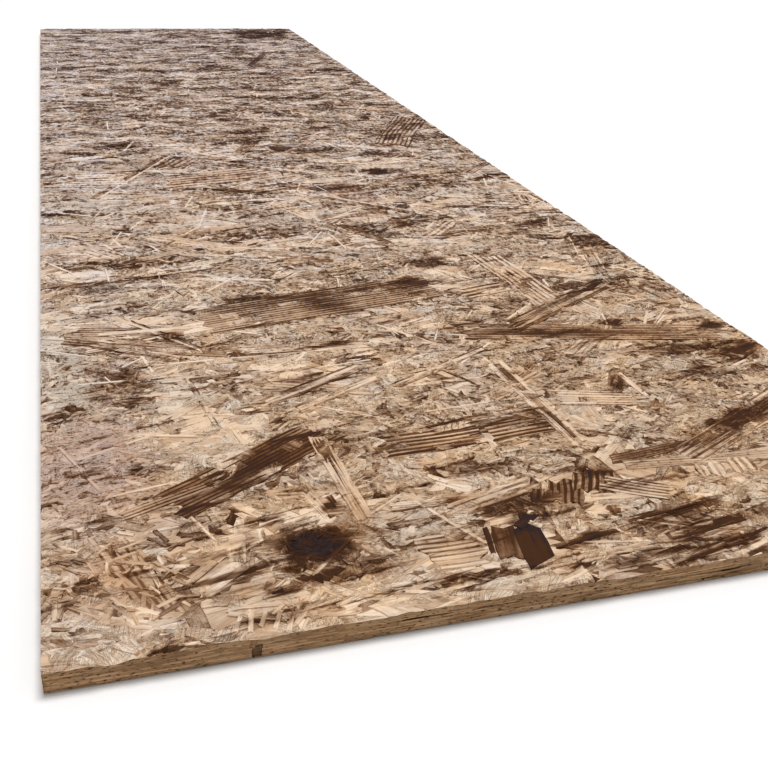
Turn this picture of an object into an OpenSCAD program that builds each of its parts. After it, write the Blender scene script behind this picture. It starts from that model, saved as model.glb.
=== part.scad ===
// Charred OSB panel: a half-width sheet of oriented strand board that lies flat,
// with its torched and brushed face up. X runs across the panel, Y along it and Z up.
// The origin is at the middle of the underside. All sizes are in millimetres.

/* [Board] */
// Width across the panel, half of a 1220 sheet
board_w = 610; // [300:5:1250]
// Length along the panel
board_l = 2440; // [600:10:3050]
// Thickness of the panel
board_t = 15; // [9:1:25]

/* [Arrises] */
// Bevel that the brush leaves along the charred face's arrises
top_bevel = 0.8; // [0.3:0.1:1.5]
// Sanded bevel along the underside's arrises
bottom_bevel = 0.3; // [0.1:0.1:1]

/* [Burnt strands] */
// Spacing of the burnt-out strands across the panel
hollow_pitch_x = 120; // [80:5:200]
// Spacing of the burnt-out strands along the panel
hollow_pitch_y = 90; // [60:5:150]
// Length of the longest burnt-out strand
strand_l = 105; // [60:5:140]
// Width of the widest burnt-out strand
strand_w = 22; // [8:1:35]
// Depth that the brush takes out of the deepest strand
hollow_depth = 1.1; // [0.4:0.1:1.6]

/* [Chipped arris] */
// Spacing of the chips along the charred face's arrises
chip_pitch = 95; // [50:5:200]
// Length of the longest chip
chip_l = 58; // [20:2:80]
// How far the widest chip reaches in from the edge
chip_reach = 7; // [2:0.5:12]
// Depth of the deepest chip at the edge
chip_depth = 2.2; // [0.8:0.1:3]

/* [Edge gaps] */
// Spacing of the gaps between strands along the sawn edges
gap_pitch = 130; // [60:5:250]
// Length of the longest gap
gap_l = 34; // [10:2:50]
// Height of the tallest gap
gap_h = 1.4; // [0.5:0.1:2.5]
// How far a gap runs into the board
gap_reach = 6; // [2:0.5:12]

/* [Layout] */
// Seed for the random lie of the strands, chips and gaps
layout_seed = 17; // [1:1:99]

/* [Hidden] */

// A cutter runs this far past the face that it opens
past = 1;
// Share of its largest size that the smallest strand, chip or gap has
least = 0.4;
// Share of a strand's width by which its split ends taper
end_slant = 0.6;
// Burnt-out strands lie across the panel, within this angle either way
strand_swing = 40;
// Shares of the spacing by which strands, chips and gaps lie off the middle of their place
strand_drift = 0.3;
chip_drift = 0.2;
gap_drift = 0.3;
// Layers of strands through the board: the gaps lie on the joints between them
layers = 4;
// The random numbers are kept apart by keys: each strand, chip or gap has some to itself, each
// edge has a run of them, and the chips and the gaps each start at their own
keys_each = 10;
keys_edge = 1000;
chip_keys = 5000;
gap_keys = 11000;

// Number of burnt-out strands that fit each way
hollow_cols = max(1, floor((board_w - strand_l) / hollow_pitch_x));
hollow_rows = max(1, floor((board_l - strand_l) / hollow_pitch_y));

// A repeatable random number from low to high, the same for the same key
function pick(low, high, key) = rands(low, high, 1, layout_seed * 1000 + key)[0];

// A repeatable random number either side of 0
function drift(most, key) = pick(-most, most, key);

// A strand's outline: a long sliver with split, slanting ends
module strand_outline(l, w) {
    slant = end_slant * w;
    polygon([
        [-l / 2, -w / 2],
        [l / 2 - slant, -w / 2],
        [l / 2, w / 4],
        [l / 2 - slant / 2, w / 2],
        [-l / 2 + slant, w / 2],
    ]);
}

// One burnt-out strand, cut down from the charred face
module burnt_strand(l, w, depth) {
    translate([0, 0, board_t - depth])
        linear_extrude(depth + past)
            strand_outline(l, w);
}

// All burnt-out strands, one in each cell of a grid, shifted and turned at random
module burnt_strands() {
    for (col = [0 : hollow_cols - 1], row = [0 : hollow_rows - 1]) {
        key = keys_each * (col + row * hollow_cols);
        l = strand_l * pick(least, 1, key + 1);
        w = strand_w * pick(least, 1, key + 2);
        x = hollow_pitch_x * (col - (hollow_cols - 1) / 2 + drift(strand_drift, key + 3));
        y = hollow_pitch_y * (row - (hollow_rows - 1) / 2 + drift(strand_drift, key + 4));
        translate([x, y, 0])
            rotate(drift(strand_swing, key + 5))
                burnt_strand(l, w, hollow_depth * pick(least, 1, key + 6));
    }
}

// Puts its children along all four edges: there +X runs along the edge and +Y out of the
// board, and $run is the edge's length and $edge its number
module at_each_edge() {
    for (edge = [0 : 3]) {
        across = edge % 2 == 0;
        $edge = edge;
        $run = across ? board_w : board_l;
        rotate(90 * edge)
            translate([0, (across ? board_l : board_w) / 2, 0])
                children();
    }
}

// A chip out of the arris: the floor slopes down from the face to the sawn edge
module arris_chip(l, reach, depth) {
    slope = atan(depth / reach);
    translate([0, -reach, board_t])
        rotate([-slope, 0, 0])
            linear_extrude(depth + past)
                polygon([
                    [-l / 2, 2 * reach],
                    [-l / 3, 0],
                    [l / 4, 0],
                    [l / 2, 2 * reach],
                ]);
}

// Chips along the arrises of the charred face
module arris_chips() {
    at_each_edge() {
        count = floor(($run - chip_l) / chip_pitch);
        for (i = [0 : count - 1]) {
            key = chip_keys + keys_edge * $edge + keys_each * i;
            x = chip_pitch * (i - (count - 1) / 2 + drift(chip_drift, key + 1));
            share = pick(least, 1, key + 2);
            translate([x, 0, 0])
                arris_chip(chip_l * pick(least, 1, key + 3), chip_reach * share, chip_depth * share);
        }
    }
}

// A gap between two layers of strands that the saw has opened
module edge_gap(l, h) {
    translate([0, past, 0])
        rotate([90, 0, 0])
            linear_extrude(gap_reach + past)
                polygon([[-l / 2, 0], [l / 5, -h / 2], [l / 2, 0], [-l / 6, h / 2]]);
}

// Gaps along the sawn edges, on the joints between the layers below the chips
module edge_gaps() {
    at_each_edge() {
        count = floor(($run - gap_l) / gap_pitch);
        for (i = [0 : count - 1]) {
            key = gap_keys + keys_edge * $edge + keys_each * i;
            x = gap_pitch * (i - (count - 1) / 2 + drift(gap_drift, key + 1));
            z = board_t / layers * min(floor(pick(1, layers, key + 2)), layers - 1);
            share = pick(least, 1, key + 3);
            translate([x, 0, z])
                edge_gap(gap_l * share, gap_h * share);
        }
    }
}

// The board before it was torched: a plate with all its arrises bevelled
module blank() {
    intersection() {
        rotate([90, 0, 0])
            linear_extrude(board_l, center = true)
                bevelled_section(board_w);
        rotate([90, 0, 90])
            linear_extrude(board_w, center = true)
                bevelled_section(board_l);
    }
}

// Upright section through the plate, w wide, with bevelled corners
module bevelled_section(w) {
    polygon([
        [-w / 2 + bottom_bevel, 0],
        [w / 2 - bottom_bevel, 0],
        [w / 2, bottom_bevel],
        [w / 2, board_t - top_bevel],
        [w / 2 - top_bevel, board_t],
        [-w / 2 + top_bevel, board_t],
        [-w / 2, board_t - top_bevel],
        [-w / 2, bottom_bevel],
    ]);
}

module panel() {
    color("peru")
        difference() {
            blank();
            burnt_strands();
            arris_chips();
            edge_gaps();
        }
}

panel();
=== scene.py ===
"""The looks of a charred OSB panel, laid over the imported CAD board.

The board's surfaces are laid as a real one is, strand over strand. Each face of the board is a
flat domain, measured in millimetres. Strands are painted onto it in order, the outlines that show
are triangulated together, and every point is sunk to the strand that lies on top there. Lengths
here are millimetres until a mesh is written, in metres.
"""

import math
import random

import bpy
import numpy as np
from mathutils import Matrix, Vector, noise
from mathutils.bvhtree import BVHTree
from mathutils.geometry import delaunay_2d_cdt, tessellate_polygon


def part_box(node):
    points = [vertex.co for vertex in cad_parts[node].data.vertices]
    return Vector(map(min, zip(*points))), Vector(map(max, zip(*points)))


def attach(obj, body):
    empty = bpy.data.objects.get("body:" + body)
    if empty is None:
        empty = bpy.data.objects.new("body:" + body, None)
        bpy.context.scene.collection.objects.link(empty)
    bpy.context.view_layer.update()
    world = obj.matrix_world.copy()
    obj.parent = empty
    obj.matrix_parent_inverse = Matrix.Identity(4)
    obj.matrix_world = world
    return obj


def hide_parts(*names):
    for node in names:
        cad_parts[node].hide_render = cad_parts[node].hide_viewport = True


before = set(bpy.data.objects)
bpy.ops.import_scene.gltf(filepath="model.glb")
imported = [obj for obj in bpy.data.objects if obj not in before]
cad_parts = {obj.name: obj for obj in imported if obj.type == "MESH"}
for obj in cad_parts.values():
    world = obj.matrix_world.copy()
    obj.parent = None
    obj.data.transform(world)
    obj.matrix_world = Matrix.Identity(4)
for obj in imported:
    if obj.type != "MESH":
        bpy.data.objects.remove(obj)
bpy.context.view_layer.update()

MM = 0.001
LOW, HIGH = (np.array(corner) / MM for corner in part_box("panel"))
WIDTH, LENGTH, THICK = HIGH - LOW
LEFT, NEAR = LOW[:2]
RIGHT, FAR = HIGH[:2]

FOOT = 0.3  # how far a strand's side slopes out from its top to its foot
MERGE = 0.02  # points nearer than this are one
BASE_DEPTH = 1.9  # of the charred face where no strand lies
RAW_DEPTH = 1.0  # the same on the underside

rng = random.Random(26)
noise.seed_set(26)  # otherwise the clock sets it, and the stains' edges differ in each run


# ---------------------------- strands

# Columns of the strand table. cx, cy: centre. cos, sin: turn. hl, hw: half length and width.
# wob, wob_l: how far the grain wanders and how often.
FIELDS = ("cx", "cy", "cos", "sin", "hl", "hw", "depth", "tilt_a", "tilt_c",
          "pitch", "rib", "phase", "wob", "wob_l", "tone", "char", "stripe", "mat", "seed")


class Strands:
    """Strands in the order they are laid: each has a row of values, an outline and grain lines.

    Their places are measured from the corner given.
    """

    def __init__(self, corner=(0, 0)):
        self.corner = corner
        self.rows = []
        self.tops = []
        self.feet = []
        self.lines = []

    def lay(self, x, y, length, width, angle, depth, tone=0.5, char=0.0, ribs=0, stripe=0.0,
            rib=0.25, mat=0.0, tilt=0.4, wave=0.0, teeth=2, step=16.0, foot=True, round_end=0.0):
        """Lays one strand: its centre, size, angle in degrees and how deep its top lies.

        tone: dark to pale. char: how burnt. ribs: how many grooves, burnt as far as stripe says.
        """
        hl, hw = length / 2, width / 2
        angle = math.radians(angle)
        pitch = width / ribs if ribs else width * rng.uniform(0.9, 1.6)
        row = dict(cx=self.corner[0] + x, cy=self.corner[1] + y,
                   cos=math.cos(angle), sin=math.sin(angle),
                   hl=hl, hw=hw, depth=depth, tilt_a=rng.uniform(-tilt, tilt) / length,
                   tilt_c=rng.uniform(-tilt, tilt) / 3 / width, pitch=pitch, rib=rib,
                   phase=rng.random(), wob=wave, wob_l=length * rng.uniform(0.7, 1.4),
                   tone=tone, char=char, stripe=stripe, mat=mat, seed=rng.uniform(0, 900))
        self.rows.append([row[name] for name in FIELDS])
        top = outline(hl, hw, teeth, step, round_end)
        self.tops.append(placed(row, top))
        self.feet.append(placed(row, grown(top)) if foot else None)
        self.lines.append([placed(row, line) for line in grain_lines(row, ribs, step)])

    def lay_each(self, rows, **looks):
        """Lays a strand for each row of values, which are in the order that lay takes them."""
        for row in rows:
            self.lay(*row, **looks)

    def raise_to_top(self, first, last):
        """Moves the strands from first up to last above all the others."""
        for kept in (self.rows, self.tops, self.feet, self.lines):
            kept.extend(kept[first:last])
            del kept[first:last]

    def table(self):
        return {name: np.array([r[i] for r in self.rows]) for i, name in enumerate(FIELDS)}


def placed(row, points):
    a, c = points[:, 0], points[:, 1]
    return np.stack([row["cx"] + a * row["cos"] - c * row["sin"],
                     row["cy"] + a * row["sin"] + c * row["cos"]], 1)


def outline(hl, hw, teeth, step, round_end):
    """A sliver: two slightly wavy sides and two split ends with the given number of teeth."""
    side = max(1, round(2 * hl / step))
    gap = 2 * hl / side
    sway = min(0.12 * hw, 0.7)
    points = []
    for turn in (1, -1):
        for i in range(side):
            a = -hl + gap * (i + 0.5)
            narrow = 1 - round_end * (a / hl) ** 4
            points.append((turn * a, turn * (-hw * narrow + rng.uniform(-sway, sway))))
        slant = rng.uniform(-0.8, 0.8) * hw
        for i in range(teeth + 1):
            share = i / teeth
            notch = rng.uniform(-0.5, 0.1) * hw if i % 2 else rng.uniform(0, 0.35) * hw
            reach = hl + max(-0.4 * gap, min(notch + slant * (share - 0.5), 0.25 * hl))
            points.append((turn * reach, turn * (-hw + 2 * hw * share) * (0.92 - 0.5 * round_end)))
    return np.array(points)


def grown(points):
    """The outline moved out by the foot's width."""
    before, after = np.roll(points, 1, 0), np.roll(points, -1, 0)
    along = after - before
    along /= np.linalg.norm(along, axis=1, keepdims=True) + 1e-9
    return points + FOOT * np.stack([along[:, 1], -along[:, 0]], 1)


def shift(row, a):
    """How far the grain has wandered sideways at a along the strand."""
    return row["wob"] * np.sin(2 * math.pi * a / row["wob_l"] + row["seed"])


def grain_lines(row, ribs, step):
    """Lines along the crests and grooves of a ribbed strand, or one crease along a plain one."""
    hl, hw = row["hl"] * 0.97, row["hw"]
    pieces = max(1, round(2 * hl / step)) if row["wob"] else 1
    a = np.linspace(-hl, hl, pieces + 1)
    lines = []
    for k in range(-2 * ribs - 4, 2 * ribs + 5):
        c = (k / 2 - row["phase"]) * row["pitch"] - shift(row, a)
        if abs(c).max() < hw - 0.6:
            lines.append(np.stack([a, c], 1))
    return lines


def rib_phase(s, a, c):
    """Whole numbers on the crests, halves in the grooves."""
    return (c + shift(s, a)) / s["pitch"] + s["phase"]


def local(s, points):
    dx, dy = points[:, 0] - s["cx"], points[:, 1] - s["cy"]
    return dx * s["cos"] + dy * s["sin"], -dx * s["sin"] + dy * s["cos"]


def depth_at(s, points):
    """Depth of the strands' tops below the face at the points, with one strand for each point."""
    a, c = local(s, points)
    phase = rib_phase(s, a, c)
    groove = 1 - abs(2 * (phase - np.floor(phase)) - 1)
    return s["depth"] + s["tilt_a"] * a + s["tilt_c"] * c + s["rib"] * groove


# ---------------------------- laying out a face

TOP_EDGE, FOOT_EDGE, GRAIN_EDGE, FIXED_EDGE = range(4)
LOOK_EVERY = 4.0  # a line is tested for strands above it at points this far apart
NO_AREA = 1e-7  # a triangle with less is left out
DOWN = Vector((0, 0, -1))


class Pile:
    """The strands stacked in their order, to ask which one is on top at a point."""

    def __init__(self, strands):
        points, tris, self.owner = [], [], []
        for rank, top in enumerate(strands.tops):
            start = len(points)
            flat = [Vector((x, y, 0.0)) for x, y in top.tolist()]
            points.extend((x, y, float(rank)) for x, y, _ in flat)
            for tri in tessellate_polygon([flat]):
                tris.append([start + k for k in tri])
                self.owner.append(rank)
        self.tree = BVHTree.FromPolygons(points, tris) if tris else None
        self.above = float(len(strands.tops))
        self.table = strands.table()
        self.lines = self.showing_lines(strands)

    def top_at(self, x, y):
        """The strand on top, or -1 where none lies."""
        if not self.tree:
            return -1
        hit = self.tree.ray_cast(Vector((x, y, self.above)), DOWN)[2]
        return -1 if hit is None else self.owner[hit]

    def tops_at(self, points):
        return np.array([self.top_at(x, y) for x, y in points.tolist()], int)

    def showing_lines(self, strands):
        """Each stretch of outline, foot and grain line that no later strand hides, roughly."""
        found = []

        def add(points, kind, owner):
            for p, q in zip(points[:-1].tolist(), points[1:].tolist()):
                dx, dy = q[0] - p[0], q[1] - p[1]
                n = max(1, math.ceil(math.hypot(dx, dy) / LOOK_EVERY))
                at = [(p[0] + dx * i / n, p[1] + dy * i / n) for i in range(n + 1)]
                tops = [self.top_at(*point) for point in at]
                clear = [t == owner if kind == GRAIN_EDGE else t <= owner for t in tops]
                start = None
                for i in range(n):
                    if clear[i] or clear[i + 1]:
                        start = i if start is None else start
                    elif start is not None:
                        found.append((*at[start], *at[i], kind, owner))
                        start = None
                if start is not None:
                    found.append((*at[start], *at[n], kind, owner))

        for i, top in enumerate(strands.tops):
            add(np.vstack([top, top[:1]]), TOP_EDGE, i)
            if strands.feet[i] is not None:
                add(np.vstack([strands.feet[i], strands.feet[i][:1]]), FOOT_EDGE, i)
            for line in strands.lines[i]:
                add(line, GRAIN_EDGE, i)
        return np.array(found)


def cut_segment(p, q, box):
    """The part of a segment inside the box, or None."""
    t0, t1 = 0.0, 1.0
    dx, dy = q[0] - p[0], q[1] - p[1]
    for low, high, start, run in ((box[0], box[2], p[0], dx), (box[1], box[3], p[1], dy)):
        if abs(run) < 1e-9:
            if not low <= start <= high:
                return None
            continue
        a, b = sorted(((low - start) / run, (high - start) / run))
        t0, t1 = max(t0, a), min(t1, b)
    if t1 - t0 < 1e-6:
        return None
    return (p[0] + t0 * dx, p[1] + t0 * dy), (p[0] + t1 * dx, p[1] + t1 * dy)


class Face:
    """A flat domain inside a border, with a pile of strands on it, as triangles.

    xy: the points. tris: triangles, anticlockwise. top: the strand on each triangle. over: the
    highest strand that touches each point. depth: how deep each point is sunk below the face.
    """

    def __init__(self, border, pile, bare_depth, fixed=(), loose=()):
        self.pile = pile
        points, edges, kinds, owners = self.segments(border, fixed)
        points, edges, tris, _, from_edges, _ = delaunay_2d_cdt(points, edges, [], 0, MERGE, True)
        points, tris = np.array([p[:] for p in points]), np.array(tris)
        top = pile.tops_at(points[tris].mean(1))
        over = np.full(len(points), -2)
        np.maximum.at(over, tris.ravel(), np.repeat(top, 3))
        showing = self.showing_edges(np.array(edges), tris, top, from_edges, kinds, owners)
        used, renamed = np.unique(showing, return_inverse=True)
        new_points, _, new_tris, from_points, _, _ = delaunay_2d_cdt(
            [Vector(p) for p in (*points[used], *loose)], renamed.reshape(-1, 2).tolist(), [], 0,
            MERGE / 4, True)
        self.xy = np.array([p[:] for p in new_points])
        self.tris = self.inside(np.array(new_tris), border)
        self.top = pile.tops_at(self.xy[self.tris].mean(1))
        kept = [[k for k in o if k < len(used)] for o in from_points]
        self.over = np.array([over[used[k]].max() if k else pile.top_at(*xy)
                              for k, xy in zip(kept, self.xy.tolist())])
        self.stain = np.zeros((len(self.xy), 4))
        self.depth = np.full(len(self.xy), bare_depth)
        if len(pile.lines):
            rows = {name: pile.table[name][self.over] for name in FIELDS}
            self.depth = np.where(self.over >= 0, depth_at(rows, self.xy), bare_depth)

    def segments(self, border, fixed):
        """The border, the fixed lines and the pile's lines inside it, each with kind and owner."""
        box = (*border.min(0), *border.max(0))
        loop = border.tolist()
        found = [(p, q, FIXED_EDGE, -1) for p, q in zip(loop, loop[1:] + loop[:1])]
        found += [(p, q, FIXED_EDGE, -1) for p, q in fixed]
        if len(self.pile.lines):
            x0, y0, x1, y1 = self.pile.lines.T[:4]
            near = ((np.minimum(x0, x1) < box[2]) & (np.maximum(x0, x1) > box[0])
                    & (np.minimum(y0, y1) < box[3]) & (np.maximum(y0, y1) > box[1]))
            found += [(line[:2], line[2:4], int(line[4]), int(line[5]))
                      for line in self.pile.lines[near].tolist()]
        points, kinds, owners = [], [], []
        for p, q, kind, owner in found:
            cut = cut_segment(p, q, box)
            if cut:
                points.extend(Vector(p) for p in cut)
                kinds.append(kind)
                owners.append(owner)
        edges = [(2 * k, 2 * k + 1) for k in range(len(kinds))]
        return points, edges, np.array(kinds), np.array(owners)

    @staticmethod
    def showing_edges(edges, tris, top, from_edges, kinds, owners):
        """The triangulation's edges that a strand's outline, foot or grain shows along."""
        ring = np.sort(np.stack([tris, np.roll(tris, -1, 1)], 2).reshape(-1, 2), 1)
        count = ring.max() + 1
        keys = ring[:, 0] * count + ring[:, 1]
        order = np.argsort(keys, kind="stable")
        keys, side = keys[order], np.repeat(top, 3)[order]
        unique, first, number = np.unique(keys, return_index=True, return_counts=True)
        one_side = side[first]
        other_side = np.where(number > 1, side[np.minimum(first + 1, len(side) - 1)], one_side)
        sizes = [len(o) for o in from_edges]
        at = np.repeat(np.arange(len(from_edges)), sizes)
        source = np.fromiter((k for o in from_edges for k in o), int, sum(sizes))
        pairs = np.sort(edges, 1)
        wanted = pairs[:, 0] * count + pairs[:, 1]
        place = np.minimum(np.searchsorted(unique, wanted), len(unique) - 1)
        known = (unique[place] == wanted)[at]
        a, b = one_side[place][at], other_side[place][at]
        kind, owner = kinds[source], owners[source]
        shows = known & ((kind == FIXED_EDGE)
                         | ((kind == TOP_EDGE) & (a != b))
                         | ((kind == FOOT_EDGE) & (np.maximum(a, b) < owner))
                         | ((kind == GRAIN_EDGE) & (a == owner) & (b == owner)))
        return pairs[np.unique(at[shows])]

    def inside(self, tris, border):
        """The triangles that lie inside the border and have some area."""
        p, q, r = (self.xy[tris[:, k]] for k in range(3))
        area = np.cross(q - p, r - p)
        middle = (p + q + r) / 3
        crossings = np.zeros(len(tris), int)
        for (x0, y0), (x1, y1) in zip(border, np.roll(border, -1, 0)):
            if y0 != y1:
                spans = (y0 > middle[:, 1]) != (y1 > middle[:, 1])
                at = x0 + (middle[:, 1] - y0) * (x1 - x0) / (y1 - y0)
                crossings += spans & (middle[:, 0] < at)
        return tris[(abs(area) > NO_AREA) & (crossings % 2 == 1)]

    def chain(self, axis, value):
        """The points on one straight side of the domain, in order along it."""
        found = np.nonzero(abs(self.xy[:, axis] - value) < MERGE * 1.5)[0]
        self.xy[found, axis] = value
        return found[np.argsort(self.xy[found, 1 - axis])]


def noise_1d(x, spacing, key):
    """A smooth value from 0 to 1 along a line, with a new value every spacing."""
    def value(n):  # a scrambled sine, which gives the same value for the same whole number
        return np.modf(abs(np.sin((n + key * 57) * 12.9898) * 43758.5453))[0]
    i = np.floor(x / spacing).astype(int)
    t = x / spacing - i
    t = t * t * (3 - 2 * t)
    return value(i) * (1 - t) + value(i + 1) * t


# ---------------------------- the charred face's strands

OVERHANG = 30  # strands are laid this far past the board's edges
WHOLE = (-OVERHANG, -OVERHANG, WIDTH + OVERHANG, LENGTH + OVERHANG)
NEAR_PART = (0, 0, WIDTH, 640)  # the part in front, which is seen closely
CLUMP = 70  # the size of the clumps that fine chips lie in


def scatter(strands, count, box, length, width, depth, swing, **looks):
    """Lays count random strands. Ranges are (low, high) pairs; char is (usual, chance of dark)."""
    usual, dark = looks.pop("char", (0.15, 0.2))
    tone = looks.pop("tone", (0.0, 1.0))
    along = looks.pop("along", 0.7)
    clumped = looks.pop("clumped", False)
    for _ in range(count):
        size = rng.uniform(*length)
        x, y = rng.uniform(box[0], box[2]), rng.uniform(box[1], box[3])
        if clumped and noise.noise((x / CLUMP, y / CLUMP, 0)) < rng.uniform(-0.35, 0.2):
            continue
        strands.lay(x, y, size, min(rng.uniform(*width), size * 0.4),
                    rng.gauss(0, swing) if rng.random() < along else rng.uniform(-90, 90),
                    rng.uniform(*depth), tone=rng.uniform(*tone),
                    char=rng.uniform(0.3, 0.95) if rng.random() < dark else rng.uniform(0, usual),
                    **looks)


def charred_strands():
    """The top face: a mat of long strands, finer ones and chips over it, and the marked ones."""
    s = Strands((LEFT, NEAR))
    scatter(s, 1700, WHOLE, (60, 140), (10, 26), (0.9, 1.4), 25, rib=0.12, mat=0.1, foot=False,
            char=(0.2, 0.14))
    scatter(s, 1900, WHOLE, (30, 90), (4, 15), (0.5, 1.0), 35, rib=0.12, mat=0.35, char=(0.2, 0.14))
    for near, far, each in ((0, 620, 52), (620, 1250, 120), (1250, LENGTH, 300)):
        scatter(s, int(WIDTH * (far - near) / each), (0, near, WIDTH, far), (5, 22),
                (1.3, 4.2), (0.2, 0.8), 45, rib=0.08, mat=1.0, teeth=1, step=60, foot=False,
                char=(0.3, 0.16), clumped=True)
    scatter(s, 260, (0, NEAR_PART[3], WIDTH, LENGTH), (40, 120), (8, 24), (0.1, 0.5), 25,
            ribs=3, stripe=0.5, wave=1.0, rib=0.25, char=(0.3, 0.4), along=0.9)
    scatter(s, 14, NEAR_PART, (60, 120), (10, 22), (0.3, 0.6), 25, ribs=4, stripe=0.5, wave=0.6,
            rib=0.25, char=(0.3, 0.3), along=0.9)
    scatter(s, 150, WHOLE, (30, 90), (1.2, 2.6), (0.1, 0.5), 50, rib=0.08, teeth=1, step=30,
            tone=(0.5, 1.0), char=(0.2, 0.3))
    scatter(s, 600, (0, 320, WIDTH, LENGTH), (12, 60), (1.0, 2.4), (0.1, 0.4), 50, rib=0.05,
            teeth=1, step=60, tone=(0.9, 1.5), char=(-0.5, 0.1))
    first, last = marked_strands(s)
    scatter(s, 1700, NEAR_PART, (3, 12), (0.9, 2.6), (0.05, 0.4), 60, rib=0.05, mat=0.4, teeth=1,
            step=60, foot=False, char=(0.4, 0.35), clumped=True)
    s.raise_to_top(first, last)
    return s


# The marked strands and the stains are placed one by one, in millimetres in from the board's left
# edge and its near end. The likeness to one particular board is all in them. Each row has the
# strand's centre, length and width, angle, depth, tone, char, ribs and stripe.

def marked_strands(s):
    """The strands that stand out. Returns the ranks of the first block and the one after."""
    near_edge_flakes(s)
    ribbed_strands(s)
    pale_pairs(s)
    first = len(s.rows)
    blocks(s)
    last = len(s.rows)
    combs(s)
    left_cluster(s)
    right_strands(s)
    far_strands(s)
    return first, last


def near_edge_flakes(s):
    """Pale mottled flakes along the near edge, and rusty chips by its left corner."""
    for k in range(76):
        s.lay(5 + 8 * k + rng.uniform(-6, 6), rng.uniform(6, 34), rng.uniform(12, 45),
              rng.uniform(3, 9), rng.gauss(4, 14) - (24 if k < 10 else 0),
              rng.uniform(0.25, 0.45), tone=rng.uniform(0.2, 1.0), char=rng.uniform(0, 0.5),
              ribs=2, stripe=0.15, rib=0.1, mat=0.7, wave=1.0)
    for k in range(6):
        s.lay(100 + 7 * k, rng.uniform(8, 14), rng.uniform(10, 18), 2.5, rng.uniform(50, 85),
              0.15, tone=0.7, char=0.1)
    for _ in range(110):
        s.lay(rng.uniform(6, 85), rng.uniform(30, 120), rng.uniform(5, 20), rng.uniform(1, 3.2),
              rng.gauss(-30, 50), rng.uniform(0.15, 0.4), tone=rng.uniform(-0.2, 1.3),
              char=rng.uniform(-0.2, 0.9))


def ribbed_strands(s):
    """Strands with dark grooves and pale crests."""
    s.lay(250, 475, 235, 65, 12, 0.15, -0.15, 0.45, 13, 1.1, wave=0.8, rib=0.35, teeth=6)
    s.lay(135, 180, 135, 38, 34, 0.15, -0.2, 1.0, 10, 0.9, wave=0.8, rib=0.35, teeth=8)
    s.lay(75, 150, 60, 10, 25, 0.3, 0.1, 0.5, 3, 0.8)
    s.lay(295, 190, 130, 32, 5, 0.15, 0.2, 0.6, 6, 1.1, wave=1.2, rib=0.4, teeth=6)
    s.lay(315, 210, 90, 16, 9, 0.3, 0.1, 0.8, 3, 1.1, teeth=3)


def pale_pairs(s):
    """Narrow pale strands beside dark ones."""
    s.lay_each((
        (365, 230, 130, 10, -86, 0.9, 0.1, 1.2),
        (360, 235, 165, 5, -86, 0.1, 0.75, 0.1, 2, 0.5),
        (370, 235, 150, 4, -87, 0.1, 0.7, 0.1),
        (190, 155, 115, 12, -87, 0.1, 0.4, 0.1, 3, 0.3),
    ))
    s.lay(165, 365, 180, 2, 1, 0.05, 0.9, step=30)
    s.lay(195, 370, 140, 12, -2, 0.2, 0.6, 0.0, 2, 0.5)
    s.lay(195, 380, 150, 5, -2, 0.6, 0.3, 0.7)
    for x, y, length, width in ((205, 300, 100, 14), (220, 280, 85, 11), (315, 310, 110, 9)):
        s.lay(x, y, length, width, 30, 0.5, 0.2, 1.0)
        s.lay(x, y, length * 0.97, width * 0.5, 30, 0.15, 0.6, 0.1)


def blocks(s):
    """A brown and a black block by the near edge."""
    s.lay(270, 50, 36, 15, 78, 0.2, -0.3, 1.5)
    s.lay(260, 55, 28, 3, 80, 0.15, 0.0, 2.0)
    s.lay(285, 45, 42, 18, 82, 0.2, 0.0, 2.1, 3, 0.1, teeth=1)
    s.lay(290, 70, 18, 8, 40, 0.15, 0.0, 2.1)
    s.lay(275, 75, 18, 9, 5, 0.1, 0.7)
    s.lay(295, 65, 9, 4, -50, 0.05, 1.0)


def combs(s):
    """Scorched slivers right of the blocks, and short grooved patches round them."""
    for x, y, length, width in ((320, 42, 45, 5), (375, 58, 60, 5), (400, 35, 60, 9)):
        s.lay(x, y, length, width, 9, 0.1, 0.2, 1.1, teeth=3)
    s.lay_each((
        (325, 100, 28, 36, 68, 0.2, 0.2, 1.1, 8, 0.9),
        (355, 105, 26, 30, 66, 0.15, 0.2, 1.0, 6, 1.0),
        (380, 90, 45, 20, -32, 0.1, 0.5, 0.4, 5, 0.8),
        (235, 50, 32, 38, 0, 0.3, 0.4, 0.35, 8, 0.8),
        (280, 105, 60, 24, 19, 0.2, 0.45, 0.3, 4, 0.9),
        (415, 225, 60, 26, -15, 0.2, 0.6, 0.25, 6, 0.7),
        (455, 100, 22, 45, 80, 0.2, 0.7, 0.1, 8, 0.7),
        (415, 470, 45, 40, 15, 0.2, 0.4, 0.5, 5, 1.1),
        (490, 410, 40, 24, -75, 0.3, 0.7, 0.2, 6, 0.9),
    ), rib=0.4, teeth=6, wave=0.5)


def left_cluster(s):
    """The strands that cross each other left of the large ribbed one."""
    s.lay_each((
        (75, 440, 95, 18, -12, 0.3, 0.1, 0.5, 4, 0.9),
        (70, 412, 110, 24, -25, 0.2, -0.1, 0.85, 5, 0.8),
        (115, 385, 70, 14, -20, 0.2, 0.1, 0.6, 3, 0.9),
        (105, 420, 95, 8, -55, 0.8, 0.1, 1.2),
        (100, 425, 95, 4, -55, 0.1, 0.7, 0.1),
        (75, 395, 80, 12, -35, 0.2, 0.5, 0.3, 2, 1.0),
        (90, 440, 85, 6, 0, 0.2, 0.7),
        (80, 240, 50, 3, -15, 0.1, 0.8),
        (50, 230, 60, 3, 25, 0.1, 0.9),
    ))


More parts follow.
